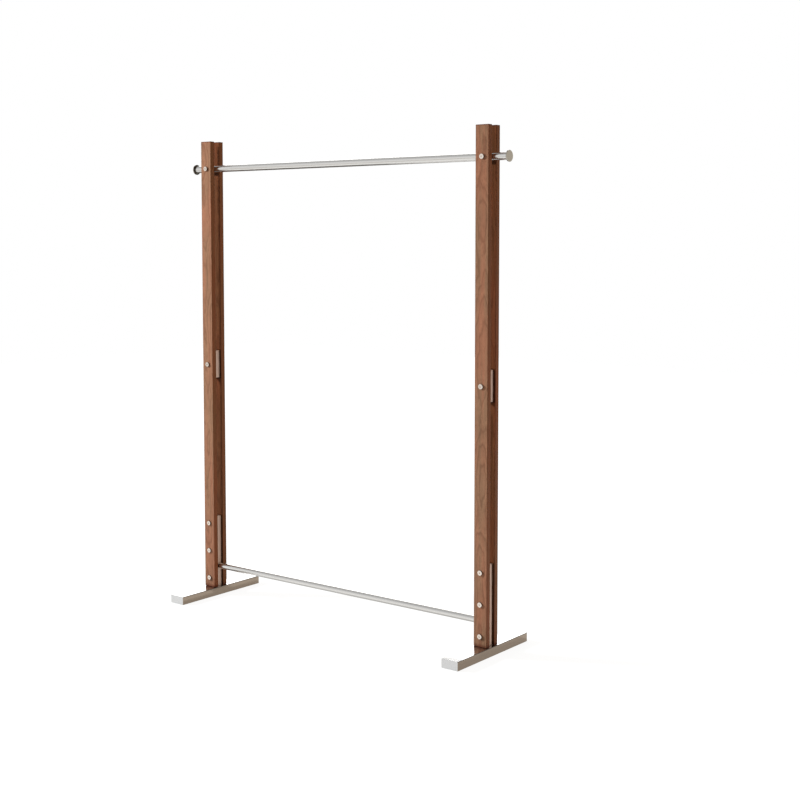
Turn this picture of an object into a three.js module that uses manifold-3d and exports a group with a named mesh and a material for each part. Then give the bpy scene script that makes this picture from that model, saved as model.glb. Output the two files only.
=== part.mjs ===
// Kimono stand: a hanging rod carried by two posts on flat steel feet.
//
// Each post is a pair of walnut boards that clamp three things between them: the rod at the top,
// a steel spacer half way up, and at the bottom a steel upright that is screwed to the foot bar.
// A thin round rail ties the two uprights together just above the feet.
//
// Millimetres, +Z up. X runs along the rod, the front faces -Y, and the origin is on the floor
// in the middle of the stand.

import * as THREE from 'three';
import { mergeVertices } from 'three/addons/utils/BufferGeometryUtils.js';
import Module from 'manifold-3d';

const wasm = await Module();
wasm.setup();

// ---- driving dimensions ----

// the stand as a whole
const STAND_HEIGHT = 1700;        // floor to the top of the boards
const POST_SPACING = 1234;        // centre to centre of the two posts
const FIT_CLEARANCE = 0.3;        // between parts that seat on or in each other
const METAL_EASE = 1;             // 45 degree edge break on the steel bars

// feet
const FOOT_LENGTH = 400;          // front to back
const FOOT_WIDTH = 63;
const FOOT_THICKNESS = 30;
const GLIDE_DIAMETER = 30;        // plastic discs let into the underside of each foot
const GLIDE_THICKNESS = 3;
const GLIDE_STAND_OFF = 1;        // how far a glide stands out below the foot
const GLIDE_INSET = 35;           // from the end of the foot to the middle of the glide

// hanging rod
const ROD_DIAMETER = 25;
const ROD_WALL = 1.5;
const ROD_DROP = 100;             // top of the boards down to the rod's axis
const ROD_OVERHANG = 83;          // middle of the post to the outer face of the end cap
const CAP_DIAMETER = 37;
const CAP_THICKNESS = 3.5;
const CAP_EASE = 0.6;
const CAP_SPIGOT = 20;            // length of the cap's spigot inside the rod

// boards
const BOARD_WIDTH = 50;
const BOARD_THICKNESS = 19;
const BOARD_EASE = 0.8;

// steel between the boards
const STEEL_WIDTH = 32;           // of the uprights and the spacers
const FIRST_BOLT_RISE = 35;       // top of the foot to the lowest bolt
const UPRIGHT_BOLT_PITCH = 104;
const UPRIGHT_TOP_MARGIN = 24;    // highest upright bolt to the top of the upright
const SPACER_HEIGHT = 102;
const SPACER_LEVEL = 874;         // floor to the middle of the spacer

// connector bolts and their sleeve nuts
const BOLT_DIAMETER = 6;
const BOLT_HEAD_DIAMETER = 17;
const BOLT_HEAD_HEIGHT = 4.6;
const BOLT_HEAD_EASE = 1.2;
const BOLT_SOCKET_FLATS = 5;
const BOLT_SOCKET_DEPTH = 2.6;
const BOLT_ENGAGEMENT = 12;       // length of bolt inside the nut's sleeve
const BOLT_TIP_EASE = 0.8;
const NUT_HEAD_HEIGHT = 3;
const NUT_HEAD_EASE = 0.8;
const NUT_SLEEVE_WALL = 1.2;
const NUT_SLEEVE_LENGTH = 17;
const NUT_SOCKET_DEPTH = 1.8;

// lower rail
const RAIL_DIAMETER = 22;
const RAIL_WALL = 1.5;
const RAIL_RISE = 78;             // top of the foot to the rail's axis
const RAIL_SPIGOT_LENGTH = 30;    // inside the rail
const RAIL_STUD_DIAMETER = 8;
const RAIL_STUD_LENGTH = 14;      // inside the upright
const GRUB_SCREW_DIAMETER = 5;
const GRUB_SCREW_LENGTH = 6;
const GRUB_SCREW_INSET = 15;      // end of the rail to the grub screw
const GRUB_SOCKET_FLATS = 2.5;
const GRUB_SOCKET_DEPTH = 2.5;

// screws that hold each upright to its foot
const FOOT_SCREW_DIAMETER = 6;
const FOOT_SCREW_HEAD_DIAMETER = 10;
const FOOT_SCREW_HEAD_HEIGHT = 6;
const FOOT_SCREW_RECESS = 8;      // depth of the counterbore under the foot
const FOOT_SCREW_SPACING = 16;
const FOOT_SCREW_ENGAGEMENT = 20; // length of screw inside the upright
const FOOT_SCREW_SOCKET_FLATS = 5;
const FOOT_SCREW_SOCKET_DEPTH = 3;

// facets round a full turn
const TUBE_FACETS = 24;
const SMALL_FACETS = 16;
const HEX_FACETS = 6;

// ---- sizes that follow ----

const BOARD_GAP = ROD_DIAMETER + 2 * FIT_CLEARANCE;
const STEEL_DEPTH = ROD_DIAMETER;
const BOARD_OFFSET = (BOARD_GAP + BOARD_THICKNESS) / 2;
const POST_FACE = BOARD_GAP / 2 + BOARD_THICKNESS;
const FOOT_TOP = GLIDE_STAND_OFF + FOOT_THICKNESS;
const BOARD_BASE = FOOT_TOP + FIT_CLEARANCE;
const UPRIGHT_BASE = FOOT_TOP + FIT_CLEARANCE;
const ROD_LEVEL = STAND_HEIGHT - ROD_DROP;
const RAIL_LEVEL = FOOT_TOP + RAIL_RISE;
const FIRST_BOLT_LEVEL = FOOT_TOP + FIRST_BOLT_RISE;
const LAST_BOLT_LEVEL = FIRST_BOLT_LEVEL + 2 * UPRIGHT_BOLT_PITCH;
const UPRIGHT_HEIGHT = LAST_BOLT_LEVEL + UPRIGHT_TOP_MARGIN - UPRIGHT_BASE;
const SPACER_BASE = SPACER_LEVEL - SPACER_HEIGHT / 2;
const UPRIGHT_STATIONS = {
  upright_low: FIRST_BOLT_LEVEL,
  upright_middle: FIRST_BOLT_LEVEL + UPRIGHT_BOLT_PITCH,
  upright_high: LAST_BOLT_LEVEL,
};
const STATIONS = { ...UPRIGHT_STATIONS, spacer: SPACER_LEVEL, rod: ROD_LEVEL };
const SIDES = { left: -1, right: 1 };

// ---- finishes ----

const finishes = {
  walnut: { color: 0x8d5f47, roughness: 0.55, metalness: 0 },
  brushedSteel: { color: 0xb9b4ac, roughness: 0.32, metalness: 1 },
  polishedSteel: { color: 0xc9c6c0, roughness: 0.22, metalness: 1 },
  blackenedSteel: { color: 0x2b2b2d, roughness: 0.5, metalness: 1 },
  glidePlastic: { color: 0x5a5753, roughness: 0.7, metalness: 0 },
};

// ---- joining and cutting ----

// A closed geometry as a solid that can be joined and cut.
function toSolid(geometry) {
  const bare = geometry.clone();
  bare.deleteAttribute('normal');
  bare.deleteAttribute('uv');
  const merged = mergeVertices(bare, 1e-4);
  return new wasm.Manifold(new wasm.Mesh({
    numProp: 3,
    vertProperties: merged.attributes.position.array,
    triVerts: merged.index.array,
  }));
}

function toGeometry(solid) {
  const { vertProperties, triVerts } = solid.getMesh();
  const geometry = new THREE.BufferGeometry();
  geometry.setAttribute('position', new THREE.BufferAttribute(vertProperties, 3));
  geometry.setIndex(new THREE.BufferAttribute(triVerts, 1));
  geometry.computeVertexNormals();
  return geometry;
}

// The geometry with each of the tools cut out of it.
function cut(geometry, tools) {
  const cutSolid = tools.reduce((solid, tool) => solid.subtract(toSolid(tool)), toSolid(geometry));
  return toGeometry(cutSolid);
}

// ---- basic forms ----

// A straight bar with broken edges, standing on Z = 0.
function easedBar(sizeX, sizeY, sizeZ, ease) {
  const halfX = sizeX / 2;
  const halfY = sizeY / 2;
  const outline = new THREE.Shape([
    new THREE.Vector2(-halfX + ease, -halfY),
    new THREE.Vector2(halfX - ease, -halfY),
    new THREE.Vector2(halfX, -halfY + ease),
    new THREE.Vector2(halfX, halfY - ease),
    new THREE.Vector2(halfX - ease, halfY),
    new THREE.Vector2(-halfX + ease, halfY),
    new THREE.Vector2(-halfX, halfY - ease),
    new THREE.Vector2(-halfX, -halfY + ease),
  ]);
  const bar = new THREE.ExtrudeGeometry(outline, {
    depth: sizeZ - 2 * ease,
    bevelThickness: ease,
    bevelSize: ease,
    bevelOffset: -ease,
    bevelSegments: 1,
  });
  return bar.translate(0, 0, ease);
}

// A round tube along X, centred on the origin.
function tubeAlongX(diameter, wall, length) {
  const section = new THREE.Shape();
  section.absarc(0, 0, diameter / 2, 0, 2 * Math.PI);
  const bore = new THREE.Path();
  bore.absarc(0, 0, diameter / 2 - wall, 0, 2 * Math.PI, true);
  section.holes.push(bore);
  const tube = new THREE.ExtrudeGeometry(section, {
    depth: length,
    bevelEnabled: false,
    curveSegments: TUBE_FACETS,
  });
  return tube.translate(0, 0, -length / 2).rotateY(Math.PI / 2);
}

// A turned part: the profile lists [radius, height] pairs from the axis and back to it, upwards
// on the outside, and the part's axis is Y.
function turned(profile, facets) {
  return new THREE.LatheGeometry(profile.map(([radius, y]) => new THREE.Vector2(radius, y)), facets);
}

// A drill along Y with its middle at the origin.
function drill(diameter, length, facets = SMALL_FACETS) {
  return new THREE.CylinderGeometry(diameter / 2, diameter / 2, length, facets);
}

// A hexagonal punch along Y, from a little outside y = 0 down to the given depth. It cuts the
// socket of a screw whose head looks towards +Y.
function hexPunch(acrossFlats, depth) {
  const reach = 1;
  const punch = drill((2 * acrossFlats) / Math.sqrt(3), depth + reach, HEX_FACETS);
  return punch.translate(0, (reach - depth) / 2, 0);
}

// ---- feet ----

const GLIDE_Y = FOOT_LENGTH / 2 - GLIDE_INSET;
const FOOT_SCREW_X = FOOT_SCREW_SPACING / 2;

// The foot bar in place, with pockets for the glides and counterbored holes for the two screws.
function footBar() {
  const bar = easedBar(FOOT_WIDTH, FOOT_THICKNESS, FOOT_LENGTH, METAL_EASE)
    .rotateX(Math.PI / 2)
    .translate(0, FOOT_LENGTH / 2, GLIDE_STAND_OFF + FOOT_THICKNESS / 2);
  const pocketTop = GLIDE_THICKNESS + FIT_CLEARANCE;
  const pockets = [-GLIDE_Y, GLIDE_Y].map((y) => drill(
    GLIDE_DIAMETER + 2 * FIT_CLEARANCE, 2 * pocketTop, TUBE_FACETS,
  ).rotateX(Math.PI / 2).translate(0, y, 0));
  const holes = [-FOOT_SCREW_X, FOOT_SCREW_X].flatMap((x) => [
    drill(FOOT_SCREW_DIAMETER + 2 * FIT_CLEARANCE, 4 * FOOT_THICKNESS)
      .rotateX(Math.PI / 2).translate(x, 0, 0),
    drill(FOOT_SCREW_HEAD_DIAMETER + 2 * FIT_CLEARANCE, 2 * (GLIDE_STAND_OFF + FOOT_SCREW_RECESS))
      .rotateX(Math.PI / 2).translate(x, 0, 0),
  ]);
  return cut(bar, [...pockets, ...holes]);
}

// A glide disc standing on Z = 0.
function glide() {
  return drill(GLIDE_DIAMETER, GLIDE_THICKNESS, TUBE_FACETS)
    .rotateX(Math.PI / 2)
    .translate(0, 0, GLIDE_THICKNESS / 2);
}

// A socket-head screw pointing up, with the top of its head's seat at Z = 0.
function footScrew() {
  const headRadius = FOOT_SCREW_HEAD_DIAMETER / 2;
  const shankRadius = FOOT_SCREW_DIAMETER / 2;
  const shankLength = FOOT_THICKNESS - FOOT_SCREW_RECESS + FOOT_SCREW_ENGAGEMENT;
  const blank = turned([
    [0, -shankLength],
    [shankRadius, -shankLength],
    [shankRadius, 0],
    [headRadius, 0],
    [headRadius, FOOT_SCREW_HEAD_HEIGHT],
    [0, FOOT_SCREW_HEAD_HEIGHT],
  ], SMALL_FACETS);
  const socket = hexPunch(FOOT_SCREW_SOCKET_FLATS, FOOT_SCREW_SOCKET_DEPTH)
    .translate(0, FOOT_SCREW_HEAD_HEIGHT, 0);
  return cut(blank, [socket]).rotateX(-Math.PI / 2);
}

// ---- steel between the boards ----

// The upright standing on Z = 0: cross holes for the bolts, a blind hole in the side that looks
// inwards for the rail's stud, and two holes in its foot for the screws from below.
function upright(inward) {
  const bar = easedBar(STEEL_WIDTH, STEEL_DEPTH, UPRIGHT_HEIGHT, METAL_EASE);
  const boltHoles = Object.values(UPRIGHT_STATIONS).map((level) => drill(
    BOLT_DIAMETER + 2 * FIT_CLEARANCE, 2 * STEEL_DEPTH,
  ).translate(0, 0, level - UPRIGHT_BASE));
  const studHole = drill(
    RAIL_STUD_DIAMETER + 2 * FIT_CLEARANCE, 2 * (RAIL_STUD_LENGTH + FIT_CLEARANCE),
  ).rotateZ(Math.PI / 2).translate(inward * STEEL_WIDTH / 2, 0, RAIL_LEVEL - UPRIGHT_BASE);
  const screwHoles = [-FOOT_SCREW_X, FOOT_SCREW_X].map((x) => drill(
    FOOT_SCREW_DIAMETER + 2 * FIT_CLEARANCE, 2 * (FOOT_SCREW_ENGAGEMENT + FIT_CLEARANCE),
  ).rotateX(Math.PI / 2).translate(x, 0, 0));
  return cut(bar, [...boltHoles, studHole, ...screwHoles]);
}

// The spacer standing on Z = 0, with one cross hole in its middle.
function spacer() {
  const bar = easedBar(STEEL_WIDTH, STEEL_DEPTH, SPACER_HEIGHT, METAL_EASE);
  const hole = drill(BOLT_DIAMETER + 2 * FIT_CLEARANCE, 2 * STEEL_DEPTH)
    .translate(0, 0, SPACER_HEIGHT / 2);
  return cut(bar, [hole]);
}

// ---- boards, bolts and nuts ----

// A board standing on Z = 0, drilled through its thickness at every bolt.
function board(holeDiameter) {
  const plank = easedBar(BOARD_WIDTH, BOARD_THICKNESS, STAND_HEIGHT - BOARD_BASE, BOARD_EASE);
  const holes = Object.values(STATIONS).map((level) => drill(
    holeDiameter, 2 * BOARD_THICKNESS,
  ).translate(0, 0, level - BOARD_BASE));
  return cut(plank, holes);
}

const NUT_SLEEVE_DIAMETER = BOLT_DIAMETER + 2 * FIT_CLEARANCE + 2 * NUT_SLEEVE_WALL;
const NUT_SEAT = POST_FACE + FIT_CLEARANCE;
const BOLT_LENGTH = 2 * NUT_SEAT - NUT_SLEEVE_LENGTH + BOLT_ENGAGEMENT;

// A connector bolt along Y: its flat round head looks towards -Y and seats at y = 0.
function connectorBolt() {
  const headRadius = BOLT_HEAD_DIAMETER / 2;
  const shankRadius = BOLT_DIAMETER / 2;
  const blank = turned([
    [0, -BOLT_LENGTH],
    [shankRadius - BOLT_TIP_EASE, -BOLT_LENGTH],
    [shankRadius, -BOLT_LENGTH + BOLT_TIP_EASE],
    [shankRadius, 0],
    [headRadius, 0],
    [headRadius, BOLT_HEAD_HEIGHT - BOLT_HEAD_EASE],
    [headRadius - BOLT_HEAD_EASE, BOLT_HEAD_HEIGHT],
    [0, BOLT_HEAD_HEIGHT],
  ], SMALL_FACETS);
  const socket = hexPunch(BOLT_SOCKET_FLATS, BOLT_SOCKET_DEPTH).translate(0, BOLT_HEAD_HEIGHT, 0);
  return cut(blank, [socket]).rotateX(Math.PI);
}

// A sleeve nut along Y: its flat round head looks towards +Y and seats at y = 0, and the bored
// sleeve reaches back towards the bolt.
function sleeveNut() {
  const headRadius = BOLT_HEAD_DIAMETER / 2;
  const sleeveRadius = NUT_SLEEVE_DIAMETER / 2;
  const boreRadius = sleeveRadius - NUT_SLEEVE_WALL;
  const blank = turned([
    [0, 0],
    [boreRadius, 0],
    [boreRadius, -NUT_SLEEVE_LENGTH],
    [sleeveRadius, -NUT_SLEEVE_LENGTH],
    [sleeveRadius, 0],
    [headRadius, 0],
    [headRadius, NUT_HEAD_HEIGHT - NUT_HEAD_EASE],
    [headRadius - NUT_HEAD_EASE, NUT_HEAD_HEIGHT],
    [0, NUT_HEAD_HEIGHT],
  ], SMALL_FACETS);
  const socket = hexPunch(BOLT_SOCKET_FLATS, NUT_SOCKET_DEPTH).translate(0, NUT_HEAD_HEIGHT, 0);
  return cut(blank, [socket]);
}

// ---- hanging rod and its caps ----

const CAP_INNER_FACE = POST_SPACING / 2 + ROD_OVERHANG - CAP_THICKNESS;
const ROD_LENGTH = 2 * (CAP_INNER_FACE - FIT_CLEARANCE);

// The rod along X, cross drilled where it passes through the posts.
function hangingRod() {
  const holes = Object.values(SIDES).map((sign) => drill(
    BOLT_DIAMETER + 2 * FIT_CLEARANCE, 2 * ROD_DIAMETER,
  ).translate(sign * POST_SPACING / 2, 0, 0));
  return cut(tubeAlongX(ROD_DIAMETER, ROD_WALL, ROD_LENGTH), holes);
}

// An end cap that looks towards +X: a flat disc from x = 0 outwards, and a spigot for the bore.
function rodEndCap() {
  const discRadius = CAP_DIAMETER / 2;
  const spigotRadius = ROD_DIAMETER / 2 - ROD_WALL - FIT_CLEARANCE;
  return turned([
    [0, -CAP_SPIGOT],
    [spigotRadius, -CAP_SPIGOT],
    [spigotRadius, 0],
    [discRadius, 0],
    [discRadius, CAP_THICKNESS - CAP_EASE],
    [discRadius - CAP_EASE, CAP_THICKNESS],
    [0, CAP_THICKNESS],
  ], TUBE_FACETS).rotateZ(-Math.PI / 2);
}

// ---- lower rail ----

const UPRIGHT_INNER_FACE = (POST_SPACING - STEEL_WIDTH) / 2;
const RAIL_END = UPRIGHT_INNER_FACE - FIT_CLEARANCE;
const GRUB_SCREW_X = RAIL_END - GRUB_SCREW_INSET;
const GRUB_HOLE_DIAMETER = GRUB_SCREW_DIAMETER + 2 * FIT_CLEARANCE;

// The rail along X, with a hole underneath each end for its grub screw.
function lowerRail() {
  const holes = Object.values(SIDES).map((sign) => drill(GRUB_HOLE_DIAMETER, RAIL_DIAMETER)
    .rotateX(Math.PI / 2).translate(sign * GRUB_SCREW_X, 0, -RAIL_DIAMETER / 2));
  return cut(tubeAlongX(RAIL_DIAMETER, RAIL_WALL, 2 * RAIL_END), holes);
}

// A turned spigot that reaches from x = 0 towards -X into the rail's end. Its stud points to +X
// and is screwed into the upright, and the blind hole underneath takes the grub screw.
function railSpigot() {
  const bodyRadius = RAIL_DIAMETER / 2 - RAIL_WALL - FIT_CLEARANCE;
  const studRadius = RAIL_STUD_DIAMETER / 2;
  const blank = turned([
    [0, -RAIL_SPIGOT_LENGTH],
    [bodyRadius, -RAIL_SPIGOT_LENGTH],
    [bodyRadius, 0],
    [studRadius, 0],
    [studRadius, RAIL_STUD_LENGTH],
    [0, RAIL_STUD_LENGTH],
  ], TUBE_FACETS).rotateZ(-Math.PI / 2);
  const holeTop = GRUB_SCREW_LENGTH + FIT_CLEARANCE - RAIL_DIAMETER / 2;
  const hole = drill(GRUB_HOLE_DIAMETER, RAIL_DIAMETER).rotateX(Math.PI / 2)
    .translate(-GRUB_SCREW_INSET, 0, holeTop - RAIL_DIAMETER / 2);
  return cut(blank, [hole]);
}

// A grub screw along Z with its socket underneath at Z = 0.
function grubScrew() {
  const blank = drill(GRUB_SCREW_DIAMETER, GRUB_SCREW_LENGTH).translate(0, -GRUB_SCREW_LENGTH / 2, 0);
  return cut(blank, [hexPunch(GRUB_SOCKET_FLATS, GRUB_SOCKET_DEPTH)]).rotateX(-Math.PI / 2);
}

// ---- assembly ----

const stand = new THREE.Group();

function place(parent, name, geometry, finish, x, y, z) {
  const mesh = new THREE.Mesh(geometry, new THREE.MeshStandardMaterial(finishes[finish]));
  mesh.name = name;
  mesh.position.set(x, y, z);
  parent.add(mesh);
  return mesh;
}

function addFoot(post, side) {
  place(post, `${side}_foot_bar`, footBar(), 'brushedSteel', 0, 0, 0);
  place(post, `${side}_front_glide`, glide(), 'glidePlastic', 0, -GLIDE_Y, 0);
  place(post, `${side}_back_glide`, glide(), 'glidePlastic', 0, GLIDE_Y, 0);
  const screwSeat = GLIDE_STAND_OFF + FOOT_SCREW_RECESS - FIT_CLEARANCE;
  place(post, `${side}_foot_screw_1`, footScrew(), 'blackenedSteel', -FOOT_SCREW_X, 0, screwSeat);
  place(post, `${side}_foot_screw_2`, footScrew(), 'blackenedSteel', FOOT_SCREW_X, 0, screwSeat);
}

function addPost(post, side, sign) {
  place(post, `${side}_upright`, upright(-sign), 'brushedSteel', 0, 0, UPRIGHT_BASE);
  place(post, `${side}_spacer`, spacer(), 'brushedSteel', 0, 0, SPACER_BASE);
  const boltHole = BOLT_DIAMETER + 2 * FIT_CLEARANCE;
  const sleeveHole = NUT_SLEEVE_DIAMETER + 2 * FIT_CLEARANCE;
  place(post, `${side}_front_board`, board(boltHole), 'walnut', 0, -BOARD_OFFSET, BOARD_BASE);
  place(post, `${side}_back_board`, board(sleeveHole), 'walnut', 0, BOARD_OFFSET, BOARD_BASE);
  for (const [station, level] of Object.entries(STATIONS)) {
    place(post, `${side}_${station}_bolt`, connectorBolt(), 'polishedSteel', 0, -NUT_SEAT, level);
    place(post, `${side}_${station}_nut`, sleeveNut(), 'polishedSteel', 0, NUT_SEAT, level);
  }
}

function addRailFixings(side, sign) {
  const spigot = place(stand, `${side}_rail_spigot`, railSpigot(), 'brushedSteel',
    sign * RAIL_END, 0, RAIL_LEVEL);
  spigot.rotation.z = sign > 0 ? 0 : Math.PI;
  place(stand, `${side}_rail_grub_screw`, grubScrew(), 'blackenedSteel',
    sign * GRUB_SCREW_X, 0, RAIL_LEVEL - RAIL_DIAMETER / 2);
}

place(stand, 'hanging_rod', hangingRod(), 'polishedSteel', 0, 0, ROD_LEVEL);
place(stand, 'lower_rail', lowerRail(), 'polishedSteel', 0, 0, RAIL_LEVEL);
for (const [side, sign] of Object.entries(SIDES)) {
  const post = new THREE.Group();
  post.position.x = sign * POST_SPACING / 2;
  stand.add(post);
  addFoot(post, side);
  addPost(post, side, sign);
  addRailFixings(side, sign);
  const cap = place(stand, `${side}_rod_end_cap`, rodEndCap(), 'polishedSteel',
    sign * CAP_INNER_FACE, 0, ROD_LEVEL);
  cap.rotation.z = sign > 0 ? 0 : Math.PI;
}

export default stand;
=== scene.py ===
"""Kimono stand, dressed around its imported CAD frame.

Two posts stand on flat steel feet. Each post is a pair of walnut boards that clamp the hanging
rod, a steel spacer and a steel upright, held by round-headed connector bolts. A thin rail ties
the uprights together just above the feet.

Every visible piece is rebuilt here with rounded edges, drilled where the CAD part is drilled,
and takes its place and size from the CAD node that it stands for. Lengths are in metres.
"""

import math

import bmesh
import bpy
import numpy as np
from mathutils import Euler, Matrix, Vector


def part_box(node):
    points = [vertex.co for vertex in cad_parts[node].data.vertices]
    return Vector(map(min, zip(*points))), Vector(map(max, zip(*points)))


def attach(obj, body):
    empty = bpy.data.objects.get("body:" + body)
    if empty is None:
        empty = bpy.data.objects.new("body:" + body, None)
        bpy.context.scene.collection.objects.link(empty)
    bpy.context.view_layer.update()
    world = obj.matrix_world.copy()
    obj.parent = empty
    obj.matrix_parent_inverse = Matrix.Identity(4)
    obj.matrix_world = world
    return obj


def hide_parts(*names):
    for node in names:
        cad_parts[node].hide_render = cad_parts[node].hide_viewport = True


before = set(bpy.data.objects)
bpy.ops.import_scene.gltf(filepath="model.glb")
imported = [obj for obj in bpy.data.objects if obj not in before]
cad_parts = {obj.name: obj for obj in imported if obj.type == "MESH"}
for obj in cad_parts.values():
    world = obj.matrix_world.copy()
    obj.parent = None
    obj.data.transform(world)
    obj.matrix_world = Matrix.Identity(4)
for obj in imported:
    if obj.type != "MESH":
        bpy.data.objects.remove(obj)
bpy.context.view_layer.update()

bl_info = {
    "name": "Kimono Stand",
    "version": (1, 0, 0),
    "blender": (4, 5, 0),
    "location": "View3D > Sidebar > Kimono Stand",
    "description": "Builds a kimono stand of walnut and brushed steel, and the studio around it",
    "category": "Add Mesh",
}

BODY = "root"
MM = 0.001
OVERRUN = 5 * MM  # how far a bit starts outside the face that it drills
FLOOR_REACH = 9.0
PANELS = (  # direction, angles within which it is full and beyond which it is gone, colour
    ((-0.62, -0.55, 0.56), 30, 110, (0.2, 0.28, 0.36)),
    ((-0.76, -0.65, 0.0), 12, 45, (0.42, 0.42, 0.42)),
    ((-0.64, 0.72, 0.285), 9, 20, (4.2, 4.2, 4.2)),
    ((0.42, 0.91, 0.0), 10, 30, (0.28, 0.27, 0.25)),
)
SIDES = {"left": -1, "right": 1}
UPRIGHT_STATIONS = ("upright_low", "upright_middle", "upright_high")
STATIONS = UPRIGHT_STATIONS + ("spacer", "rod")


def srgb(red, green, blue):
    """A colour given by its screen values from 0 to 255, as linear light."""
    def linear(value):
        share = value / 255
        return share / 12.92 if share <= 0.04045 else ((share + 0.055) / 1.055) ** 2.4
    return tuple(linear(value) for value in (red, green, blue))


# ---- sizes, finishes and studio settings ----

def length(name, description, millimetres):
    """A length property with its default in millimetres."""
    return bpy.props.FloatProperty(
        name=name, description=description, default=millimetres * MM, min=0,
        subtype="DISTANCE", unit="LENGTH", precision=4,
    )


def share(name, description, default):
    """A property from 0 to 1."""
    return bpy.props.FloatProperty(
        name=name, description=description, default=default, min=0, max=1, subtype="FACTOR",
    )


def stain(name, description, tint):
    """A colour property with its default in linear light, such as a stain's share of each colour."""
    return bpy.props.FloatVectorProperty(
        name=name, description=description, default=tint, min=0, max=1, size=3, subtype="COLOR",
    )


def colour(name, description, screen_values):
    """A colour property with its default in screen values."""
    return stain(name, description, srgb(*screen_values))


def angle(name, description, degrees):
    """An angle property with its default in degrees."""
    return bpy.props.FloatProperty(
        name=name, description=description, default=math.radians(degrees), subtype="ANGLE",
        unit="ROTATION",
    )


class StandSizes(bpy.types.PropertyGroup):
    """The fine sizes that the looks add to the CAD frame."""

    board_edge: length("Board edge", "Radius of the boards' rounded edges", 1.3)
    steel_edge: length("Steel edge", "Radius of the steel bars' broken edges", 1.0)
    tube_wall: length("Tube wall", "Wall of the hanging rod and the lower rail", 1.5)
    clearance: length("Clearance", "Gap between parts that seat on or in each other", 0.3)
    cap_disc: length("Cap disc", "Thickness of an end cap's disc", 3.5)
    cap_edge: length("Cap edge", "Radius of an end cap's edges", 0.7)
    head_height: length("Bolt head", "Height of a connector bolt's head", 4.6)
    head_edge: length("Bolt head edge", "Radius of a connector bolt's head edge", 1.1)
    bolt_diameter: length("Bolt shank", "Diameter of a connector bolt's shank", 6)
    nut_head: length("Nut head", "Height of a sleeve nut's head", 3)
    nut_head_edge: length("Nut head edge", "Radius of a sleeve nut's head edge", 0.8)
    nut_wall: length("Nut sleeve wall", "Wall of a sleeve nut's sleeve", 1.2)
    socket_flats: length("Socket", "Hexagon socket of bolts and nuts, across its flats", 5)
    bolt_socket: length("Bolt socket depth", "Depth of a bolt's hexagon socket", 2.6)
    nut_socket: length("Nut socket depth", "Depth of a nut's hexagon socket", 1.8)
    stud_diameter: length("Rail stud", "Diameter of the stud on a rail spigot", 8)
    stud_length: length("Rail stud length", "Length of the stud inside the upright", 14)
    grub_flats: length("Grub screw socket", "Socket of a grub screw, across its flats", 2.5)
    foot_screw: length("Foot screw", "Diameter of the screws through a foot", 6)
    foot_screw_head: length("Foot screw head", "Height of a foot screw's head", 6)
    foot_screw_socket: length("Foot screw socket", "Depth of a foot screw's socket", 3)
    foot_screw_recess: length("Foot screw recess", "Depth of the counterbore in a foot", 8)
    glide_edge: length("Glide edge", "Radius round a glide's lower edge", 0.8)
    round_steps: bpy.props.IntProperty(
        name="Facets", description="Facets round a full turn, a multiple of six",
        default=96, min=12, max=192,
    )
    edge_steps: bpy.props.IntProperty(
        name="Edge steps", description="Steps across a rounded edge", default=4, min=1, max=8,
    )


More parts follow.
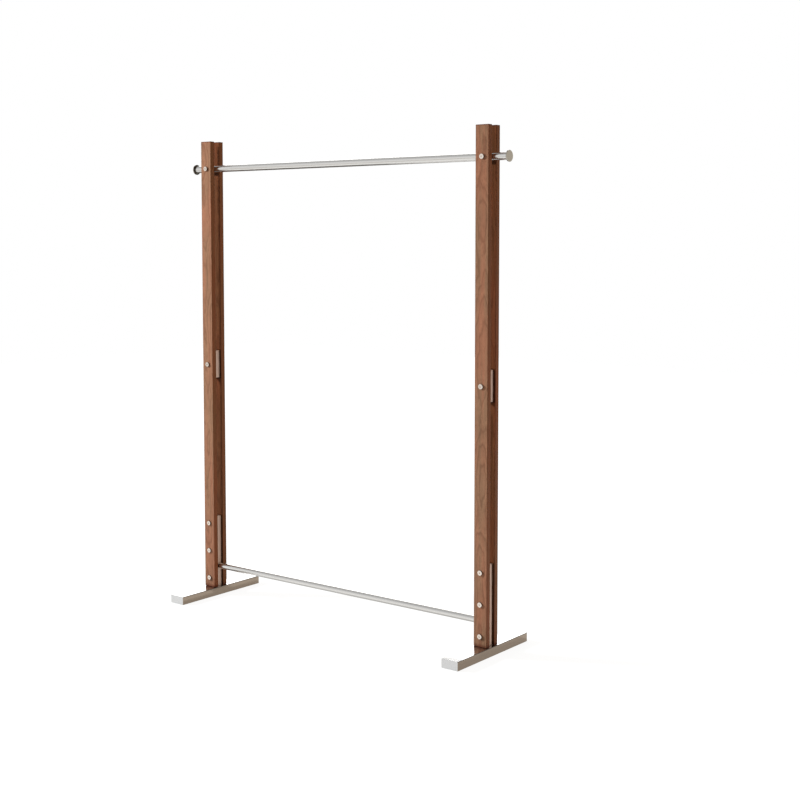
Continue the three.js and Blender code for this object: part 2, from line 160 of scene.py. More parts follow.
class StandFinishes(bpy.types.PropertyGroup):
    """Colours and finishes of the stand, with the tints that paint shade and reflections on it."""

    wood_red: colour("Walnut, red", "Redder tone of the walnut", (143, 96, 72))
    wood_olive: colour("Walnut, olive", "Greener tone of the walnut", (137, 101, 76))
    wood_ring: colour("Walnut, ring", "Dark line that closes each growth ring", (88, 53, 36))
    wood_pore: colour("Walnut, pore", "Bottom of the open pores", (70, 41, 28))
    # Painted shade: the boards' narrow faces are darker because less light falls on them.
    wood_side_shade: stain("Side stain", "Stain of the boards' narrow faces", (0.88, 0.66, 0.46))
    # Painted shade on the faces in the gap between two boards.
    wood_gap_shade: stain("Gap stain", "Stain of the faces between two boards", (0.54, 0.39, 0.28))
    # Painted shade on the gap faces beside the clamped steel.
    wood_seat_shade: stain("Seat stain", "Stain of the wood round clamped steel", (0.4, 0.32, 0.2))
    # Stains the worn edges and the top ends, and paints the shade at the boards' lower ends.
    wood_end_and_shade: stain("End stain", "Stain of the boards' edges and ends", (0.52, 0.36, 0.33))
    ring_spacing: length("Ring spacing", "Width of one growth ring", 5.2)
    wood_roughness: share("Walnut roughness", "Roughness of the satin lacquer", 0.42)
    foot_colour: colour("Foot steel", "Colour of the brushed feet", (209, 209, 209))
    foot_roughness: share("Foot roughness", "Roughness of the brushed feet", 0.15)
    # Painted reflection: the feet's long sides are darkened as they mirror shaded floor.
    foot_side_reflection: stain("Foot sides", "Darkening of the feet's long sides", (0.51, 0.41, 0.32))
    # Painted reflection on the upper arrises of the feet's long sides.
    foot_arris_reflection: stain("Foot arrises", "Darkening of the sides' upper edges", (0.4, 0.45, 0.5))
    # Steel colour with a warm pink cast that paints the walnut's reflection.
    bar_colour_and_reflection: colour("Bar steel", "Colour of the uprights and spacers", (238, 214, 198))
    bar_roughness: share("Bar roughness", "Roughness of the uprights and spacers", 0.75)
    worn_colour: colour("Worn steel", "Colour of the steel bars' rubbed edges", (236, 234, 231))
    tube_colour: colour("Tube steel", "Colour of the rod and the rail", (216, 214, 211))
    tube_roughness: share("Tube roughness", "Roughness of the brushed tubes", 0.17)
    bolt_colour: colour("Bolt steel", "Colour of bolts and nuts", (229, 217, 206))
    # Painted shade and dark reflection on the wall round a bolt's head.
    bolt_rim_shade: stain("Bolt rim", "Darkening of the wall round a bolt's head", (0.22, 0.16, 0.12))
    bolt_roughness: share("Bolt roughness", "Roughness of the turned parts", 0.25)
    cap_colour: colour("Cap steel", "Colour of the rod's end caps", (181, 175, 163))
    # Painted shade on an end cap's inner face, which looks to the post.
    cap_inner_shade: stain("Cap seat", "Darkening of an end cap's inner face", (0.1, 0.1, 0.09))
    black_colour: colour("Black steel", "Colour of the blackened screws", (52, 51, 52))
    black_roughness: share("Black roughness", "Roughness of the blackened screws", 0.45)
    glide_colour: colour("Glides", "Colour of the plastic glides", (92, 88, 83))


class StandStudio(bpy.types.PropertyGroup):
    """Camera, light and background."""

    camera_place: bpy.props.FloatVectorProperty(
        name="Camera", description="Where the camera stands", size=3, subtype="TRANSLATION",
        unit="LENGTH", default=(3.00164, -3.52781, 1.34164),
    )
    camera_turn: angle("Camera turn", "Turn of the camera to the left of straight ahead", 37.784)
    camera_dip: angle("Camera dip", "How far the camera looks down", 3.98)
    camera_lens: bpy.props.FloatProperty(
        name="Lens", description="Focal length on a 36 mm sensor", default=60.218, unit="CAMERA",
    )
    camera_rise: bpy.props.FloatProperty(
        name="Lens shift", description="Vertical shift of the lens, as a share of the sensor",
        default=-0.085,
    )
    background: colour("Background", "Colour that the camera sees behind the stand", (255, 255, 255))
    floor_colour: colour("Floor", "Colour of the pale floor", (238, 235, 229))
    strip_colour: colour("Dark strip", "Dark part of the floor that only metal shows", (105, 102, 98))
    mirrored: share("Mirrored background", "How much of the background shows in metal", 0.5)
    glow: stain("Glow", "Even light from all round", (0.3, 0.23, 0.155))
    floor_shadow: share("Floor shadow", "How much of the stand's shadow the camera sees", 0.2)
    floor_glow: bpy.props.FloatProperty(
        name="Floor glow", description="Strength that keeps the open floor as white as the backdrop",
        default=1.14, min=0,
    )
    key_power: bpy.props.FloatProperty(
        name="Key light", description="Power of the soft light at the front left", default=98,
        unit="POWER",
    )
    key_place: bpy.props.FloatVectorProperty(
        name="Key light place", description="Where the soft light stands", size=3,
        subtype="TRANSLATION", unit="LENGTH", default=(-5.9, -3.2, 3.8),
    )


# ---- shapes ----

def filleted(corners, steps):
    """A profile whose corners are rounded.

    Each corner is radius, height, and where they aren't 0, its fillet and whether it is hexagonal.
    The rounded corner is the circle of the fillet's radius that touches both sides: its centre
    lies on the bisector, and its points run from one touching point to the other at equal
    angles. Gives rows of radius, height, hexagon.
    """
    rows = []
    points = [np.array(corner[:2], float) for corner in corners]
    for index, corner in enumerate(corners):
        _, _, fillet, hexagon = (*corner, 0, 0)[:4]
        here = points[index]
        if fillet == 0 or index in (0, len(corners) - 1):
            rows.append((*here, hexagon))
            continue
        back = points[index - 1] - here
        ahead = points[index + 1] - here
        back /= np.linalg.norm(back)
        ahead /= np.linalg.norm(ahead)
        half = math.acos(np.clip(back @ ahead, -1, 1)) / 2
        middle = (back + ahead) / np.linalg.norm(back + ahead)
        centre = here + middle * fillet / math.sin(half)
        start = here + back * fillet / math.tan(half) - centre
        end = here + ahead * fillet / math.tan(half) - centre
        sweep = math.pi - 2 * half
        t = np.linspace(0, 1, steps + 1)[:, None]
        arc = (np.sin((1 - t) * sweep) * start + np.sin(t * sweep) * end) / math.sin(sweep)
        rows.extend((*(centre + point), hexagon) for point in arc)
    return np.array(rows)


def grid_faces(rows, columns, closed):
    """Quads between neighbouring rows of points; each row closes on itself.

    Point (i, j) has number i * columns + j. A closed grid also joins its last row to its first.
    """
    row = np.arange(rows if closed else rows - 1)[:, None]
    column = np.arange(columns)[None, :]
    next_row = (row + 1) % rows
    next_column = (column + 1) % columns
    corners = [row * columns + column, row * columns + next_column,
               next_row * columns + next_column, next_row * columns + column]
    return np.stack(corners, axis=-1).reshape(-1, 4)


def new_piece(name, points, faces, local=None):
    """A mesh object at the origin: coincident points are merged and faces turned outwards.

    local gives each point its place in the piece's own frame, kept as the attribute "turning".
    """
    mesh = bpy.data.meshes.new(name)
    mesh.from_pydata(points.tolist(), [], [list(map(int, face)) for face in faces])
    if local is not None:
        turning = mesh.attributes.new("turning", "FLOAT_VECTOR", "POINT")
        turning.data.foreach_set("vector", local.astype(np.float32).ravel())
    tidy = bmesh.new()
    tidy.from_mesh(mesh)
    bmesh.ops.remove_doubles(tidy, verts=tidy.verts, dist=1e-6)
    bmesh.ops.recalc_face_normals(tidy, faces=tidy.faces)
    tidy.to_mesh(mesh)
    tidy.free()
    piece = bpy.data.objects.new(name, mesh)
    bpy.context.scene.collection.objects.link(piece)
    return piece


def turned(name, corners, origin, axis, closed=False):
    """A turned part: a profile with rounded corners, carried round an axis.

    A point of the profile at radius r and height h goes to
    origin + R(phi) * (cos(phi) * side + sin(phi) * other) + h * axis. R is r on a round ring.
    On a hexagonal ring, where r is half the width across the flats, R = r / cos(phi mod 60 - 30).
    """
    sizes = bpy.context.scene.stand_sizes
    steps = sizes.round_steps
    profile = filleted(corners, sizes.edge_steps)
    axis = Vector(axis).normalized()
    side = axis.orthogonal().normalized()
    other = axis.cross(side)
    phi = np.arange(steps) * 2 * math.pi / steps
    sixth = math.pi / 3
    hexagon = 1 / np.cos(phi % sixth - sixth / 2)
    radius, height, hexness = profile.T
    reach = radius[:, None] * (1 + hexness[:, None] * (hexagon - 1))
    local = np.stack([reach * np.cos(phi), reach * np.sin(phi),
                      np.broadcast_to(height[:, None], reach.shape)], axis=-1).reshape(-1, 3)
    points = np.array(origin) + local @ np.array([side, other, axis])
    return new_piece(name, points, grid_faces(len(profile), steps, closed), local)


def eased_bar(name, low, high, edge):
    """A straight bar between two corners, with rounded edges.

    Rings of a rounded rectangle are stacked along Z. With t running from -90 to 90 degrees, a
    ring near an end lies edge * sin(t) from the start of the rounding, and its corner arcs have
    radius edge * cos(t) about centres that stay put, so that the eight corners are spherical.
    """
    steps = bpy.context.scene.stand_sizes.edge_steps
    low, high = np.array(low), np.array(high)
    centre, half = (low + high) / 2, (high - low) / 2 - edge
    quarter = np.linspace(0, math.pi / 2, steps + 1)
    around = np.concatenate([quarter + turn * math.pi / 2 for turn in range(4)])
    signs = np.array([(1, 1), (-1, 1), (-1, -1), (1, -1)])
    corners = np.repeat(signs * half[:2], steps + 1, axis=0)
    tilt = np.concatenate([quarter - math.pi / 2, quarter])
    rise = edge * np.sin(tilt) + np.where(np.arange(len(tilt)) > steps, half[2], -half[2])
    arc = np.stack([np.cos(around), np.sin(around)], axis=-1)
    flat = corners + edge * np.cos(tilt)[:, None, None] * arc
    height = np.broadcast_to(rise[:, None, None], (*flat.shape[:2], 1))
    points = centre + np.concatenate([flat, height], axis=-1).reshape(-1, 3)
    faces = list(grid_faces(len(tilt), len(around), False))
    first = np.arange(4) * (steps + 1)
    last = first + (len(tilt) - 1) * len(around)
    return new_piece(name, points, faces + [first[::-1], last])


def drill_bit(diameter, start, end):
    """A cylinder between two points, used only to cut a hole."""
    start, end = Vector(start), Vector(end)
    reach = (end - start).length
    profile = [(0, 0), (diameter / 2, 0), (diameter / 2, reach), (0, reach)]
    return turned("drill_bit", profile, start, end - start)


def bit_across(diameter, node, z, x=None):
    """A bit from front to back through a CAD node, in the middle of it where x isn't given."""
    low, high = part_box(node)
    x = (low.x + high.x) / 2 if x is None else x
    return drill_bit(diameter, (x, low.y - OVERRUN, z), (x, high.y + OVERRUN, z))


def bit_up(node, face, end=None, diameter=None):
    """A bit in line with a CAD node that enters an underside and ends at a height.

    It clears the node's own top and diameter where these aren't given.
    """
    gap = bpy.context.scene.stand_sizes.clearance
    low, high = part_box(node)
    x, y, _ = base(node)
    across = (diameter or high.x - low.x) + 2 * gap
    return drill_bit(across, (x, y, face - OVERRUN), (x, y, end or high.z + gap))


def drilled(piece, bits):
    """The piece with the bits cut out of it. The bits are removed."""
    for bit in bits:
        cut = piece.modifiers.new("hole", "BOOLEAN")
        cut.operation = "DIFFERENCE"
        cut.solver = "EXACT"
        cut.object = bit
    depsgraph = bpy.context.evaluated_depsgraph_get()
    cut_mesh = bpy.data.meshes.new_from_object(piece.evaluated_get(depsgraph))
    piece.modifiers.clear()
    old_mesh = piece.data
    piece.data = cut_mesh
    bpy.data.meshes.remove(old_mesh)
    cut_mesh.name = piece.name
    for bit in bits:
        bpy.data.meshes.remove(bit.data)
    return piece


def finish(piece, material, node):
    """Smooths a piece between its edges, gives it its finish and sets it in the CAD frame."""
    piece.data.materials.clear()
    piece.data.materials.append(material)
    piece.data.shade_smooth()
    piece.data.set_sharp_from_angle(angle=math.radians(40))
    even = piece.modifiers.new("even_normals", "WEIGHTED_NORMAL")
    even.keep_sharp = True
    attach(piece, BODY)
    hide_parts(node)
    return piece


# ---- shader maths ----

def arithmetic(operation, turned_round=False):
    """A method that adds a Math node for two operands."""
    def method(self, other):
        operands = (other, self) if turned_round else (self, other)
        return self.maths(operation, *operands)
    return method


class Value:
    """A node's output. Arithmetic on it adds Math nodes."""

    def __init__(self, shader, socket):
        self.shader = shader
        self.socket = socket

    def maths(self, operation, *operands):
        settings = {"operation": operation}
        return self.shader.node("ShaderNodeMath", settings, dict(enumerate(operands)))

    def __abs__(self):
        return self.maths("ABSOLUTE", self)

    __add__ = __radd__ = arithmetic("ADD")
    __mul__ = __rmul__ = arithmetic("MULTIPLY")
    __sub__ = arithmetic("SUBTRACT")
    __rsub__ = arithmetic("SUBTRACT", turned_round=True)
    __truediv__ = arithmetic("DIVIDE")
    __pow__ = arithmetic("POWER")


class Shader:
    """The node tree of a material or a world."""

    def __init__(self, owner):
        owner.use_nodes = True
        self.owner = owner
        self.tree = owner.node_tree
        self.tree.nodes.clear()

    def node(self, kind, settings=None, inputs=None, output=0):
        """Adds a node: its settings first, then the values or links of its sockets."""
        made = self.tree.nodes.new(kind)
        for key, value in (settings or {}).items():
            setattr(made, key, value)
        for key, value in (inputs or {}).items():
            socket = made.inputs[key]
            if isinstance(value, Value):
                self.tree.links.new(value.socket, socket)
            elif socket.type == "RGBA":
                socket.default_value = (*value, 1)
            else:
                socket.default_value = value
        return Value(self, made.outputs[output]) if made.outputs else None

    def noise(self, vector, scale, detail=2.0, roughness=0.5):
        """Noise from 0 to 1, with its scale along each axis in features per metre."""
        stretched = self.node("ShaderNodeVectorMath", {"operation": "MULTIPLY"},
                              {0: vector, 1: scale})
        return self.node("ShaderNodeTexNoise", None, {
            "Vector": stretched, "Scale": 1.0, "Detail": detail, "Roughness": roughness,
        })

    def ramp(self, value, start, end):
        """A smooth step from 0 at start to 1 at end."""
        return self.node("ShaderNodeMapRange", {"interpolation_type": "SMOOTHSTEP"}, {
            "Value": value, "From Min": start, "From Max": end,
        })

    def plateau(self, value, start, full, still, end):
        """A mask that rises from start to full and falls from still to end."""
        return self.ramp(value, start, full) * (1 - self.ramp(value, still, end))

    def blend(self, factor, first, second, **settings):
        """The colour between two colours."""
        return self.node("ShaderNodeMix", {"data_type": "RGBA", **settings},
                         {0: factor, 6: first, 7: second}, output=2)

    def tinted(self, factor, first, second):
        """A colour multiplied by another as far as the factor says."""
        return self.blend(factor, first, second, blend_type="MULTIPLY", clamp_factor=True)

    def scaled(self, tint, factor):
        """A colour made lighter or darker."""
        return self.node("ShaderNodeVectorMath", {"operation": "SCALE"}, {0: tint, "Scale": factor})

    def parts(self, vector):
        """The X, Y and Z of a vector."""
        split = self.node("ShaderNodeSeparateXYZ", None, {0: vector}).socket.node
        return [Value(self, output) for output in split.outputs]

    def bump(self, height, distance):
        """A normal from a height."""
        return self.node("ShaderNodeBump", None, {
            "Height": height, "Distance": distance, "Strength": 1.0,
        })

    def surface(self, inputs):
        """Ends a material in one Principled surface, and gives the material."""
        shading = self.node("ShaderNodeBsdfPrincipled", None, inputs)
        self.node("ShaderNodeOutputMaterial", None, {"Surface": shading})
        return self.owner


def object_place(shader, turn=(0, 0, 0), centre=(0, 0, 0), offset=(0, 0, 0)):
    """Object coordinates about a centre, turned and then moved by an offset."""
    spin = Euler(turn)
    start = Vector(offset) - spin.to_matrix() @ Vector(centre)
    place = shader.node("ShaderNodeTexCoord", output="Object")
    return shader.node("ShaderNodeMapping", None, {
        "Vector": place, "Location": start, "Rotation": spin,
    })


# ---- finishes ----

def walnut(name, node, pith, tilt):
    """Lacquered walnut sawn from a log, with painted shade that differs by the face that it shows.

    The log's pith runs beside the board, at an offset of pith and tilted by tilt. Distance from
    the pith, waved a little, gives the growth rings: a dark line closes each ring and pale wood
    starts the next. Noise drawn out along the log gives the streaks, the fibre and the open
    pores. Worn edges and the top ends take a deeper stain. Painted shade darkens the lower ends,
    the narrow faces, the faces in the gap and, deeper, the wood beside clamped steel.
    """
    looks = bpy.context.scene.stand_finishes
    shader = Shader(bpy.data.materials.new(name))
    low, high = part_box(node)
    centre, half = (low + high) / 2, (high - low) / 2
    offset = Vector(pith) + Vector((0, 0, centre.z))
    log = object_place(shader, turn=(*tilt, 0), centre=centre, offset=offset)
    across, deep, _ = shader.parts(log)
    wave = shader.noise(log, (17, 17, 4.5), detail=1.5)
    ripple = shader.noise(log, (75, 75, 26), detail=1)
    radius = (across * across + deep * deep) ** 0.5
    radius = radius + (wave - 0.5) * 30 * MM + (ripple - 0.5) * 5 * MM
    ring = radius.maths("FRACT", radius / looks.ring_spacing)
    late = shader.plateau(ring, 0.55, 0.85, 0.88, 1.0)
    early = shader.plateau(ring, 0.02, 0.12, 0.15, 0.45)
    streak = shader.noise(log, (58, 58, 2.4), detail=4)
    cloud = shader.noise(log, (15, 15, 4), detail=2)
    figure = shader.noise(log, (34, 34, 15), detail=2)
    fibre = shader.noise(log, (900, 900, 16), detail=2)
    pores = shader.noise(log, (1700, 1700, 55), detail=1)
    pore = shader.ramp(pores + (0.5 - ring) * 0.05, 0.635, 0.7)
    tone = shader.blend(shader.ramp(streak * 0.6 + cloud * 0.4, 0.38, 0.62),
                        looks.wood_olive, looks.wood_red)
    tone = shader.blend(late * 0.34, tone, looks.wood_ring)
    tone = shader.blend(pore * 0.55, tone, looks.wood_pore)
    lightness = 0.98 + (streak - 0.5) * 0.45 + (figure - 0.5) * 0.22 + (fibre - 0.5) * 0.3
    lightness = lightness + early * 0.1
    tone = shader.scaled(tone, lightness)
    place = object_place(shader, centre=centre)
    beside, behind, above = shader.parts(place)
    worn = edge_wear(shader, centre, half, 2.8 * MM)
    # Painted shade darkens the lower ends, where the boards stand on the feet; the worn edges and the
    # top ends are stained.
    lower_end_shade = 1 - shader.ramp(above, -half.z, 14 * MM - half.z)
    upper_end = shader.ramp(above, half.z - 5 * MM, half.z - MM)
    tone = shader.tinted(worn * 0.6 + lower_end_shade + upper_end * 0.7, tone, looks.wood_end_and_shade)
    # Painted shade on the narrow faces.
    tone = shader.tinted(face_mask(shader, beside, half.x), tone, looks.wood_side_shade)
    # Painted shade on the faces in the gap between the boards.
    gap_side = behind * (1 if centre.y < 0 else -1)
    gap = shader.ramp(gap_side, half.y - MM, half.y)
    tone = shader.tinted(gap, tone, looks.wood_gap_shade)
    # Painted shade, deeper still, on the gap faces beside the clamped upright and spacer.
    for part in ("upright", "spacer"):
        seat_low, seat_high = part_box(f"{node.split('_')[0]}_{part}")
        start, end = seat_low.z - centre.z, seat_high.z - centre.z
        seat = shader.plateau(above, start - 6 * MM, start, end, end + 6 * MM)
        tone = shader.tinted(gap * seat, tone, looks.wood_seat_shade)
    rough = looks.wood_roughness + (fibre - 0.5) * 0.12 + pore * 0.2 + (cloud - 0.5) * 0.1
    relief = (fibre - 0.5) * 0.25 - pore * 0.7 - late * 0.12
    return shader.surface({
        "Base Color": tone, "Roughness": rough, "Normal": shader.bump(relief, 0.08 * MM),
        "IOR": 1.2,
    })


def face_mask(shader, coordinate, reach):
    """A mask that is 1 on the two faces at the given distance from the middle."""
    return shader.ramp(abs(coordinate), reach - 1.2 * MM, reach - 0.2 * MM)


def edge_wear(shader, centre, half, reach):
    """A mask that is 1 on a box's edges and fades within reach of them.

    With a, b and c the depths under the three pairs of faces, the distance along the surface to
    the nearest edge is their middle value, max(min(a, b), min(max(a, b), c)).
    """
    place = object_place(shader, centre=centre)
    a, b, c = (out - abs(coordinate) for coordinate, out in zip(shader.parts(place), half))
    least = a.maths("MINIMUM", a, b)
    most = a.maths("MAXIMUM", a, b)
    middle = a.maths("MAXIMUM", least, a.maths("MINIMUM", most, c))
    broken = shader.noise(place, (120, 120, 30), detail=3)
    return (1 - shader.ramp(middle, 0, reach)) * shader.ramp(broken, 0.3, 0.6)


def brushed_bar(name, node, along, base, roughness, sides=None):
    """Brushed flat steel: fine lines drawn out along one axis, long smudges and bright edges.

    sides holds the tints that paint dark reflections on the two long sides and on their upper
    arrises.
    """
    looks = bpy.context.scene.stand_finishes
    shader = Shader(bpy.data.materials.new(name))
    low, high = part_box(node)
    centre, half = (low + high) / 2, (high - low) / 2
    place = object_place(shader)
    def drawn(fine, slow):
        return tuple(slow if axis == along else fine for axis in range(3))
    line = shader.noise(place, drawn(3200, 18), detail=2)
    streak = shader.noise(place, drawn(420, 3), detail=3)
    smudge = shader.noise(place, (14, 14, 14), detail=3)
    worn = edge_wear(shader, centre, half, 1.2 * MM)
    lightness = 1 + (streak - 0.5) * 0.1 + (smudge - 0.5) * 0.06 + (line - 0.5) * 0.06
    tone = shader.blend(worn * 0.5, base, looks.worn_colour)
    # Painted reflections darken the long sides and their upper arrises.
    if sides:
        side_reflection_tint, arris_reflection_tint = sides
        beside, _, above = shader.parts(object_place(shader, centre=centre))
        side = face_mask(shader, beside, half.x)
        arris_reflection = side * shader.ramp(above, half.z - 2.6 * MM, half.z - 1.4 * MM)
        tone = shader.tinted(arris_reflection, shader.tinted(side, tone, side_reflection_tint), arris_reflection_tint)
    tone = shader.scaled(tone, lightness)
    rough = roughness + (streak - 0.5) * 0.12 + (smudge - 0.5) * 0.14 - worn * 0.06
    relief = (line - 0.5) * 0.6 + (streak - 0.5) * 0.4
    return shader.surface({
        "Base Color": tone, "Metallic": 1.0, "Roughness": rough,
        "Normal": shader.bump(relief, 0.012 * MM),
    })


def brushed_tube(name):
    """Brushed round steel: fine lines along X and slow changes of gloss."""
    looks = bpy.context.scene.stand_finishes
    shader = Shader(bpy.data.materials.new(name))
    place = object_place(shader)
    line = shader.noise(place, (14, 2600, 2600), detail=2)
    streak = shader.noise(place, (2.2, 520, 520), detail=3)
    smudge = shader.noise(place, (9, 30, 30), detail=3)
    lightness = 1 + (streak - 0.5) * 0.12 + (smudge - 0.5) * 0.05 + (line - 0.5) * 0.06
    rough = looks.tube_roughness + (streak - 0.5) * 0.1 + (smudge - 0.5) * 0.1
    return shader.surface({
        "Base Color": shader.scaled(looks.tube_colour, lightness), "Metallic": 1.0,
        "Roughness": rough, "Normal": shader.bump((line - 0.5) + (streak - 0.5), 0.01 * MM),
    })


def turned_steel(name, tint, roughness, rim=None):
    """Steel turned on a lathe: fine rings about the part's own axis, from "turning".

    rim is (radius, height, tint): painted shade darkens the wall outside the radius and under the
    height.
    """
    shader = Shader(bpy.data.materials.new(name))
    place = shader.node("ShaderNodeAttribute", {"attribute_name": "turning"}, output="Vector")
    x, y, z = shader.parts(place)
    radius = (x * x + y * y) ** 0.5
    ring = shader.node("ShaderNodeCombineXYZ", None, {0: radius, 1: z})
    groove = shader.noise(ring, (5200, 5200, 0), detail=2)
    band = shader.noise(ring, (900, 900, 0), detail=2)
    smudge = shader.noise(place, (160, 160, 160), detail=3)
    lightness = 1 + (band - 0.5) * 0.12 + (groove - 0.5) * 0.08 + (smudge - 0.5) * 0.06
    rough = roughness + (band - 0.5) * 0.12 + (smudge - 0.5) * 0.14
    # Painted shade on the wall round a bolt's head and on an end cap's inner face.
    if rim:
        reach, top, rim_shade_tint = rim
        wall = shader.ramp(radius, reach - 0.8 * MM, reach)
        wall = wall * (1 - shader.ramp(z, top - 0.6 * MM, top))
        tint = shader.tinted(wall, tint, rim_shade_tint)
    return shader.surface({
        "Base Color": shader.scaled(tint, lightness), "Metallic": 1.0, "Roughness": rough,
        "Normal": shader.bump((groove - 0.5) + (band - 0.5), 0.008 * MM),
    })


def moulded_plastic(name):
    """Moulded plastic with a fine spark-eroded grain."""
    looks = bpy.context.scene.stand_finishes
    shader = Shader(bpy.data.materials.new(name))
    place = object_place(shader)
    grain = shader.noise(place, (2200, 2200, 2200), detail=2)
    scuff = shader.noise(place, (90, 90, 90), detail=4)
    return shader.surface({
        "Base Color": shader.scaled(looks.glide_colour, 1 + (scuff - 0.5) * 0.3),
        "Roughness": 0.55 + (scuff - 0.5) * 0.3, "Normal": shader.bump(grain, 0.03 * MM),
    })


# ---- pieces ----

def middle(node):
    """The middle of a CAD node."""
    low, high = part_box(node)
    return (low + high) / 2


def base(node):
    """The middle of a CAD node's underside."""
    low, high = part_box(node)
    return (low.x + high.x) / 2, (low.y + high.y) / 2, low.z


def inner_end(node, sign):
    """The middle of the end of a CAD node that looks to the middle of the stand."""
    low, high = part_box(node)
    return low.x if sign > 0 else high.x, (low.y + high.y) / 2, (low.z + high.z) / 2


def measures(node, along):
    """The radius and the length of a round CAD node that lies along X (0), Y (1) or Z (2)."""
    low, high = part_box(node)
    size = high - low
    return (size.x if along else size.z) / 2, size[along]


def bolt_levels(stations=STATIONS):
    """The heights of the bolts at stations of a post, the same for both posts."""
    return [middle(f"left_{station}_bolt").z for station in stations]


def foot_screws(side):
    """The nodes of the screws through one foot."""
    return [f"{side}_foot_screw_{number}" for number in (1, 2)]


class STAND_OT_boards(bpy.types.Operator):
    """Build the four walnut boards, drilled for the connector bolts"""

    bl_idname = "kimono_stand.boards"
    bl_label = "Walnut Boards"

    def execute(self, context):
        sizes = context.scene.stand_sizes
        shank_hole = sizes.bolt_diameter + 2 * sizes.clearance
        sleeve_hole = shank_hole + 2 * (sizes.nut_wall + sizes.clearance)
        timbers = {
            "left_front_board": ((0.012, 0.074, 0), (0.019, 0.004)),
            "left_back_board": ((-0.03, -0.09, 0.6), (-0.012, 0.006)),
            "right_front_board": ((-0.006, 0.058, 1.3), (-0.024, -0.006)),
            "right_back_board": ((0.02, -0.08, 2.1), (0.015, -0.003)),
        }
        for node, (pith, tilt) in timbers.items():
            low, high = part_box(node)
            hole = shank_hole if "front" in node else sleeve_hole
            bits = [bit_across(hole, node, z) for z in bolt_levels()]
            board = drilled(eased_bar(f"{node}_wood", low, high, sizes.board_edge), bits)
            finish(board, walnut(f"walnut_{node}", node, pith, tilt), node)
        return {"FINISHED"}


class STAND_OT_steel(bpy.types.Operator):
    """Build the steel uprights and spacers between the boards"""

    bl_idname = "kimono_stand.steel"
    bl_label = "Uprights and Spacers"

    def execute(self, context):
        sizes = context.scene.stand_sizes
        bolt_hole = sizes.bolt_diameter + 2 * sizes.clearance
        looks = context.scene.stand_finishes
        rail = middle("lower_rail").z
        for side, sign in SIDES.items():
            for part, stations in (("upright", UPRIGHT_STATIONS), ("spacer", ("spacer",))):
                node = f"{side}_{part}"
                low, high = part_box(node)
                bits = [bit_across(bolt_hole, node, z) for z in bolt_levels(stations)]
                if part == "upright":
                    inner, _, _ = inner_end(node, sign)
                    bits.append(drill_bit(
                        sizes.stud_diameter + 2 * sizes.clearance, (inner - sign * OVERRUN, 0, rail),
                        (inner + sign * (sizes.stud_length + sizes.clearance), 0, rail),
                    ))
                    for screw in foot_screws(side):
                        bits.append(bit_up(screw, low.z, diameter=sizes.foot_screw))
                bar = drilled(eased_bar(f"{node}_bar", low, high, sizes.steel_edge), bits)
                # The warm cast of the uprights and spacers paints the walnut's reflection.
                steel = brushed_bar(f"brushed_{node}", node, 2, looks.bar_colour_and_reflection, looks.bar_roughness)
                finish(bar, steel, node)
        return {"FINISHED"}


class STAND_OT_feet(bpy.types.Operator):
    """Build the steel foot bars with their screws and glides"""

    bl_idname = "kimono_stand.feet"
    bl_label = "Feet"

    def execute(self, context):
        sizes = context.scene.stand_sizes
        looks = context.scene.stand_finishes
        black = turned_steel("blackened_steel", looks.black_colour, looks.black_roughness)
        plastic = moulded_plastic("glide_plastic")
        for side in SIDES:
            node = f"{side}_foot_bar"
            low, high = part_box(node)
            glides = [f"{side}_{end}_glide" for end in ("front", "back")]
            bits = [bit_up(glide, low.z) for glide in glides]
            for screw in foot_screws(side):
                bits.append(bit_up(screw, low.z, high.z + MM, sizes.foot_screw))
                bits.append(bit_up(screw, low.z, low.z + sizes.foot_screw_recess))
            bar = drilled(eased_bar(f"{node}_steel", low, high, sizes.steel_edge), bits)
            # The long sides and their arrises take painted reflections.
            steel = brushed_bar(f"brushed_{node}", node, 1, looks.foot_colour,
                                looks.foot_roughness, (looks.foot_side_reflection, looks.foot_arris_reflection))
            finish(bar, steel, node)
            for glide in glides:
                self.add_glide(glide, sizes, plastic)
            for screw in foot_screws(side):
                self.add_screw(screw, sizes, black)
        return {"FINISHED"}

    def add_glide(self, node, sizes, plastic):
        """A moulded disc whose lower edge is rounded, with a shallow dish underneath."""
        radius, thickness = measures(node, 2)
        dish = 0.3 * MM
        rim = radius * 0.72
        profile = [
            (0, dish), (rim - 2 * MM, dish, 2 * MM), (rim, 0, 2 * MM), (radius, 0, sizes.glide_edge),
            (radius, thickness, 0.3 * MM), (0, thickness),
        ]
        disc = turned(f"{node}_disc", profile, base(node), (0, 0, 1))
        finish(disc, plastic, node)

    def add_screw(self, node, sizes, black):
        """A socket-head screw that points up, with its head in the foot's recess."""
        head, tip = measures(node, 2)
        seat, shank = sizes.foot_screw_head, sizes.foot_screw / 2
        profile = [
            *socket_corners(sizes.socket_flats, 0, sizes.foot_screw_socket, 1),
            (head, 0, 0.6 * MM), (head, seat, 0.2 * MM), (shank, seat),
            (shank, tip - 0.8 * MM), (shank - 0.8 * MM, tip), (0, tip),
        ]
        screw = turned(f"{node}_steel", profile, base(node), (0, 0, 1))
        finish(screw, black, node)


def socket_corners(flats, face, depth, inward):
    """The corners of a hexagon socket, from its middle out to the rim of a flat face.

    inward is 1 where the socket runs towards greater heights, and -1 where it runs down.
    """
    half = flats / 2
    rim = half * 2 / math.sqrt(3) + 0.25 * MM
    lead = 0.3 * MM
    drill_point = 0.5 * MM
    return [
        (0, face + inward * (depth + drill_point)), (half * 0.9, face + inward * depth),
        (half, face + inward * depth, 0, 1), (half, face + inward * lead, 0, 1),
        (rim, face),
    ]


